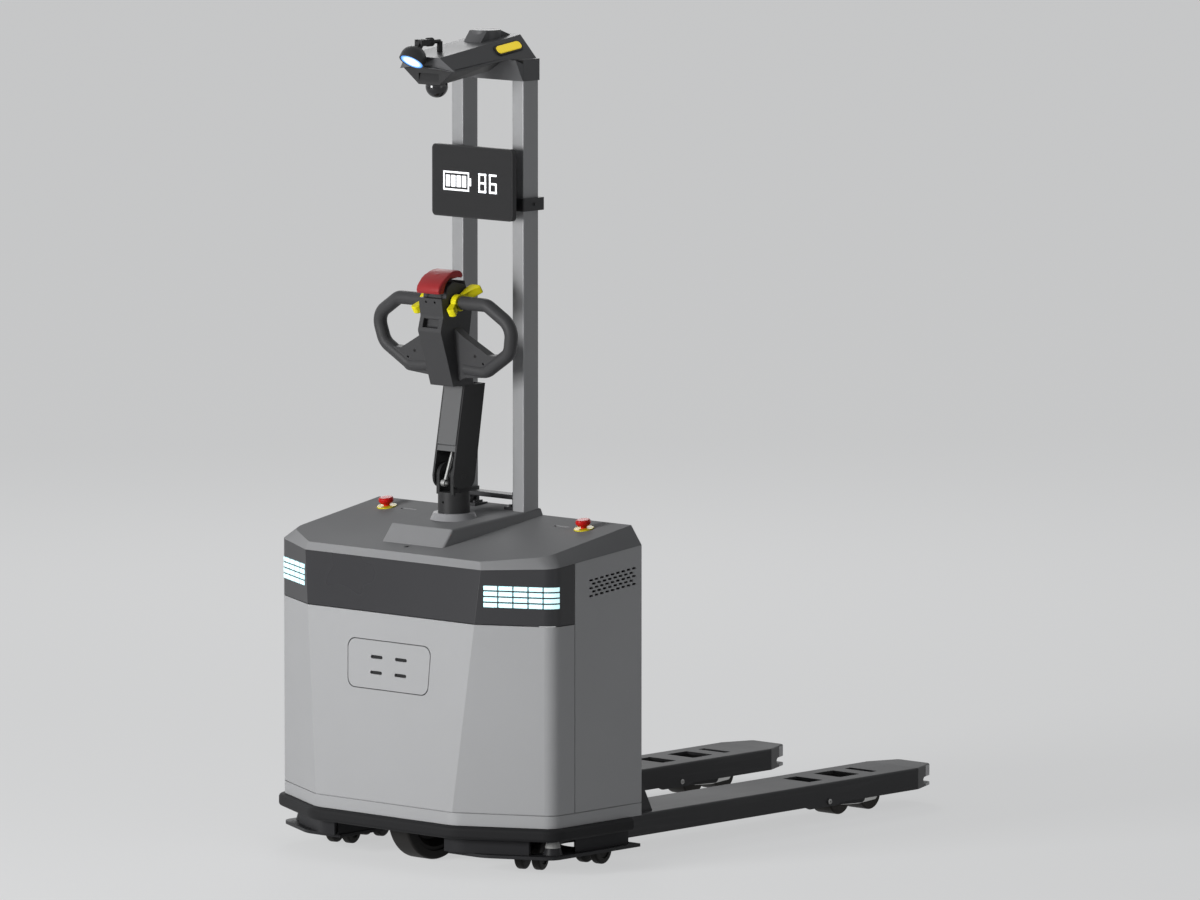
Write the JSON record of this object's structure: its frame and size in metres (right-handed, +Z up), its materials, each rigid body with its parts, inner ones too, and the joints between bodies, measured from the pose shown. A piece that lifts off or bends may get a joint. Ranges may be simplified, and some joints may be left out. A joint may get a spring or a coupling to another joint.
{
  "type": "autonomous pallet truck",
  "caption": "Autonomous pallet truck with a faceted body, steering tiller, sensor mast with screen and head, and lifting forks on tandem rollers.",
  "frame": {"origin": "centre of the bounding box on the floor plane", "axes": "+Z up, the forks point along +Y and the front cover faces -Y, +X to the right seen from the front"},
  "size_m": [0.962, 1.742, 2.061],
  "materials": {
    "frame_steel": "satin black powder coat",
    "cover_grey": "satin grey paint",
    "cover_dark": "satin dark grey paint",
    "band_black": "smooth black",
    "led_cyan": "lit lamp lens",
    "ring_plastic": "yellow rings, pale collar",
    "bumper_rubber": "matt",
    "carrier_black": "moulded",
    "mast_aluminium": "bead-blasted grey anodising",
    "hardware_steel": "black",
    "trim_black": "fine texture",
    "lamp_amber": "lit amber lens",
    "dome_gloss": "smoked dome",
    "screen_glass": "display glass",
    "battery_case": "moulded case",
    "power_parts": "painted",
    "fork_paint": "dark grey powder coat",
    "tip_paint": "mid grey",
    "link_steel": "zinc plated",
    "roller_tread": "polyurethane",
    "drive_cast": "painted casting",
    "drive_tread": "polyurethane tyre on an iron hub",
    "tiller_metal": "satin black",
    "tiller_plastic": "fine grain",
    "control_yellow": "moulded",
    "button_red": "moulded",
    "caster_metal": "black",
    "caster_tread": "polyurethane"
  },
  "bodies": {
    "chassis": {"base_frame": "frame_steel", "caster_plate_left": "frame_steel", "caster_plate_right": "frame_steel", "lift_guides": "frame_steel", "front_cover": "cover_grey", "side_panel_left": "cover_grey", "side_panel_right": "cover_grey", "back_panel": "cover_grey", "charge_plate": "cover_grey", "skirt": "cover_grey", "light_band": "band_black", "led_lamps": "led_cyan", "top_cover": "cover_dark", "console": "cover_dark", "cover_rings": "ring_plastic", "bumper": "bumper_rubber", "charge_contacts": "carrier_black", "mast_posts": "mast_aluminium", "mast_hardware": "hardware_steel", "head_shell": "cover_dark", "head_trim": "trim_black", "side_lamps": "lamp_amber", "dome_camera": "dome_gloss", "screen_case": "trim_black", "screen_glass": "screen_glass", "battery_pack": "battery_case", "power_unit": "power_parts"},
    "fork_frame": {"fork_left": "fork_paint", "fork_right": "fork_paint", "fork_tips": "tip_paint", "fork_carriage": "fork_paint"},
    "tiller_handle": {"tiller_stem": "tiller_metal", "tiller_head": "tiller_plastic"},
    "trail_arm_left": {"trail_arm_left": "fork_paint"},
    "trail_arm_right": {"trail_arm_right": "fork_paint"},
    "tandem_left": {"tandem_left": "link_steel"},
    "tandem_right": {"tandem_right": "link_steel"},
    "load_roller_rear_right": {"load_roller_rear_right": "roller_tread"},
    "load_roller_rear_left": {"load_roller_rear_left": "roller_tread"},
    "load_roller_front_right": {"load_roller_front_right": "roller_tread"},
    "load_roller_front_left": {"load_roller_front_left": "roller_tread"},
    "push_rods": {"push_rods": "link_steel"},
    "drive_unit": {"drive_unit": "drive_cast"},
    "drive_wheel": {"drive_wheel": "drive_tread"},
    "tiller_column": {"tiller_column": "tiller_metal"},
    "throttle": {"throttle": "control_yellow"},
    "belly_button": {"belly_button": "button_red"},
    "strut_cylinder": {"strut_cylinder": "tiller_metal"},
    "strut_rod": {"strut_rod": "link_steel"},
    "estop_button_left": {"estop_button_left": "button_red"},
    "estop_button_right": {"estop_button_right": "button_red"},
    "spotlight": {"spotlight": "trim_black"},
    "caster_fork_front_left": {"caster_fork_front_left": "caster_metal"},
    "caster_wheels_front_left": {"caster_wheels_front_left": "caster_tread"},
    "caster_fork_front_right": {"caster_fork_front_right": "caster_metal"},
    "caster_wheels_front_right": {"caster_wheels_front_right": "caster_tread"},
    "caster_fork_rear_left": {"caster_fork_rear_left": "caster_metal"},
    "caster_wheels_rear_left": {"caster_wheels_rear_left": "caster_tread"},
    "caster_fork_rear_right": {"caster_fork_rear_right": "caster_metal"},
    "caster_wheels_rear_right": {"caster_wheels_rear_right": "caster_tread"}
  },
  "joints": [
    {"name": "fork_lift", "type": "slide", "parent": "chassis", "child": "fork_frame", "axis": [0, 0, 1], "range_m": [0, 0.12]},
    {"name": "trail_arm_hinge_left", "type": "hinge", "parent": "fork_frame", "child": "trail_arm_left", "pos_m": [-0.25225, 0.434, 0.051], "axis": [-1, 0, 0], "range_deg": [0, 48]},
    {"name": "tandem_hinge_left", "type": "hinge", "parent": "trail_arm_left", "child": "tandem_left", "pos_m": [-0.25225, 0.6005, 0.04], "axis": [-1, 0, 0], "range_deg": [-48, 0]},
    {"name": "load_roller_rear_left_spin", "type": "hinge", "parent": "tandem_left", "child": "load_roller_rear_left", "pos_m": [-0.25225, 0.541, 0.04], "axis": [1, 0, 0], "continuous": true},
    {"name": "load_roller_front_left_spin", "type": "hinge", "parent": "tandem_left", "child": "load_roller_front_left", "pos_m": [-0.25225, 0.66, 0.04], "axis": [1, 0, 0], "continuous": true},
    {"name": "trail_arm_hinge_right", "type": "hinge", "parent": "fork_frame", "child": "trail_arm_right", "pos_m": [0.25225, 0.434, 0.051], "axis": [-1, 0, 0], "range_deg": [0, 48]},
    {"name": "tandem_hinge_right", "type": "hinge", "parent": "trail_arm_right", "child": "tandem_right", "pos_m": [0.25225, 0.6005, 0.04], "axis": [-1, 0, 0], "range_deg": [-48, 0]},
    {"name": "load_roller_rear_right_spin", "type": "hinge", "parent": "tandem_right", "child": "load_roller_rear_right", "pos_m": [0.25225, 0.541, 0.04], "axis": [1, 0, 0], "continuous": true},
    {"name": "load_roller_front_right_spin", "type": "hinge", "parent": "tandem_right", "child": "load_roller_front_right", "pos_m": [0.25225, 0.66, 0.04], "axis": [1, 0, 0], "continuous": true},
    {"name": "push_rod_slide", "type": "slide", "parent": "fork_frame", "child": "push_rods", "axis": [0, 1, 0], "range_m": [0, 0.01932]},
    {"name": "tiller_steer", "type": "hinge", "parent": "chassis", "child": "tiller_column", "pos_m": [0, -0.598, 0.85], "axis": [0, 0, 1], "range_deg": [-40, 40]},
    {"name": "drive_steer", "type": "hinge", "parent": "chassis", "child": "drive_unit", "pos_m": [0, -0.695, 0.248], "axis": [0, 0, 1], "range_deg": [-90, 90]},
    {"name": "drive_spin", "type": "hinge", "parent": "drive_unit", "child": "drive_wheel", "pos_m": [0, -0.695, 0.113], "axis": [1, 0, 0], "continuous": true},
    {"name": "caster_swivel_front_left", "type": "hinge", "parent": "chassis", "child": "caster_fork_front_left", "pos_m": [-0.325, -0.677, 0.1], "axis": [0, 0, 1], "continuous": true},
    {"name": "caster_spin_front_left", "type": "hinge", "parent": "caster_fork_front_left", "child": "caster_wheels_front_left", "pos_m": [-0.33032, -0.65565, 0.037], "axis": [0.9703, 0.2419, 0], "continuous": true},
    {"name": "caster_swivel_front_right", "type": "hinge", "parent": "chassis", "child": "caster_fork_front_right", "pos_m": [0.325, -0.677, 0.1], "axis": [0, 0, 1], "continuous": true},
    {"name": "caster_spin_front_right", "type": "hinge", "parent": "caster_fork_front_right", "child": "caster_wheels_front_right", "pos_m": [0.31712, -0.65646, 0.037], "axis": [0.9336, 0.3584, 0], "continuous": true},
    {"name": "caster_swivel_rear_left", "type": "hinge", "parent": "chassis", "child": "caster_fork_rear_left", "pos_m": [-0.362, -0.499, 0.1], "axis": [0, 0, 1], "continuous": true},
    {"name": "caster_spin_rear_left", "type": "hinge", "parent": "caster_fork_rear_left", "child": "caster_wheels_rear_left", "pos_m": [-0.35594, -0.52015, 0.037], "axis": [-0.9613, -0.2756, 0], "continuous": true},
    {"name": "caster_swivel_rear_right", "type": "hinge", "parent": "chassis", "child": "caster_fork_rear_right", "pos_m": [0.362, -0.499, 0.1], "axis": [0, 0, 1], "continuous": true},
    {"name": "caster_spin_rear_right", "type": "hinge", "parent": "caster_fork_rear_right", "child": "caster_wheels_rear_right", "pos_m": [0.35894, -0.47721, 0.037], "axis": [0.9903, 0.1392, 0], "continuous": true},
    {"name": "tiller_tilt", "type": "hinge", "parent": "tiller_column", "child": "tiller_handle", "pos_m": [0, -0.601, 0.955], "axis": [1, 0, 0], "range_deg": [0, 75]},
    {"name": "strut_swing", "type": "hinge", "parent": "tiller_handle", "child": "strut_cylinder", "pos_m": [0, -0.55941, 1.12712], "axis": [-1, 0, 0], "range_deg": [0, 3.62]},
    {"name": "strut_stroke", "type": "slide", "parent": "strut_cylinder", "child": "strut_rod", "axis": [0, 0.3575, 0.9339], "range_m": [0, 0.04231]},
    {"name": "throttle_turn", "type": "hinge", "parent": "tiller_handle", "child": "throttle", "pos_m": [0, -0.63697, 1.393], "axis": [1, 0, 0], "range_deg": [-35, 35], "stiffness_Nm_per_rad": 1.5},
    {"name": "belly_button_press", "type": "slide", "parent": "tiller_handle", "child": "belly_button", "axis": [0, 0.5, -0.866], "range_m": [0, 0.008], "stiffness_N_per_m": 600},
    {"name": "estop_press_left", "type": "slide", "parent": "chassis", "child": "estop_button_left", "axis": [0, 0.1615, -0.9869], "range_m": [0, 0.005], "stiffness_N_per_m": 800},
    {"name": "estop_press_right", "type": "slide", "parent": "chassis", "child": "estop_button_right", "axis": [0, 0.1615, -0.9869], "range_m": [0, 0.005], "stiffness_N_per_m": 800},
    {"name": "spotlight_tilt", "type": "hinge", "parent": "chassis", "child": "spotlight", "pos_m": [0, -0.717, 2.042], "axis": [1, 0, 0], "range_deg": [-45, 0]}
  ],
  "couplings": [
    {"joint": "trail_arm_hinge_left", "follows": "fork_lift", "rad_per_m": 6.9813},
    {"joint": "tandem_hinge_left", "follows": "fork_lift", "rad_per_m": -6.9813},
    {"joint": "trail_arm_hinge_right", "follows": "fork_lift", "rad_per_m": 6.9813},
    {"joint": "tandem_hinge_right", "follows": "fork_lift", "rad_per_m": -6.9813},
    {"joint": "push_rod_slide", "follows": "fork_lift", "ratio": 0.161},
    {"joint": "drive_steer", "follows": "tiller_steer", "ratio": 2.25},
    {"joint": "strut_swing", "follows": "tiller_tilt", "ratio": 0.04828},
    {"joint": "strut_stroke", "follows": "tiller_tilt", "m_per_rad": 0.0323}
  ]
}
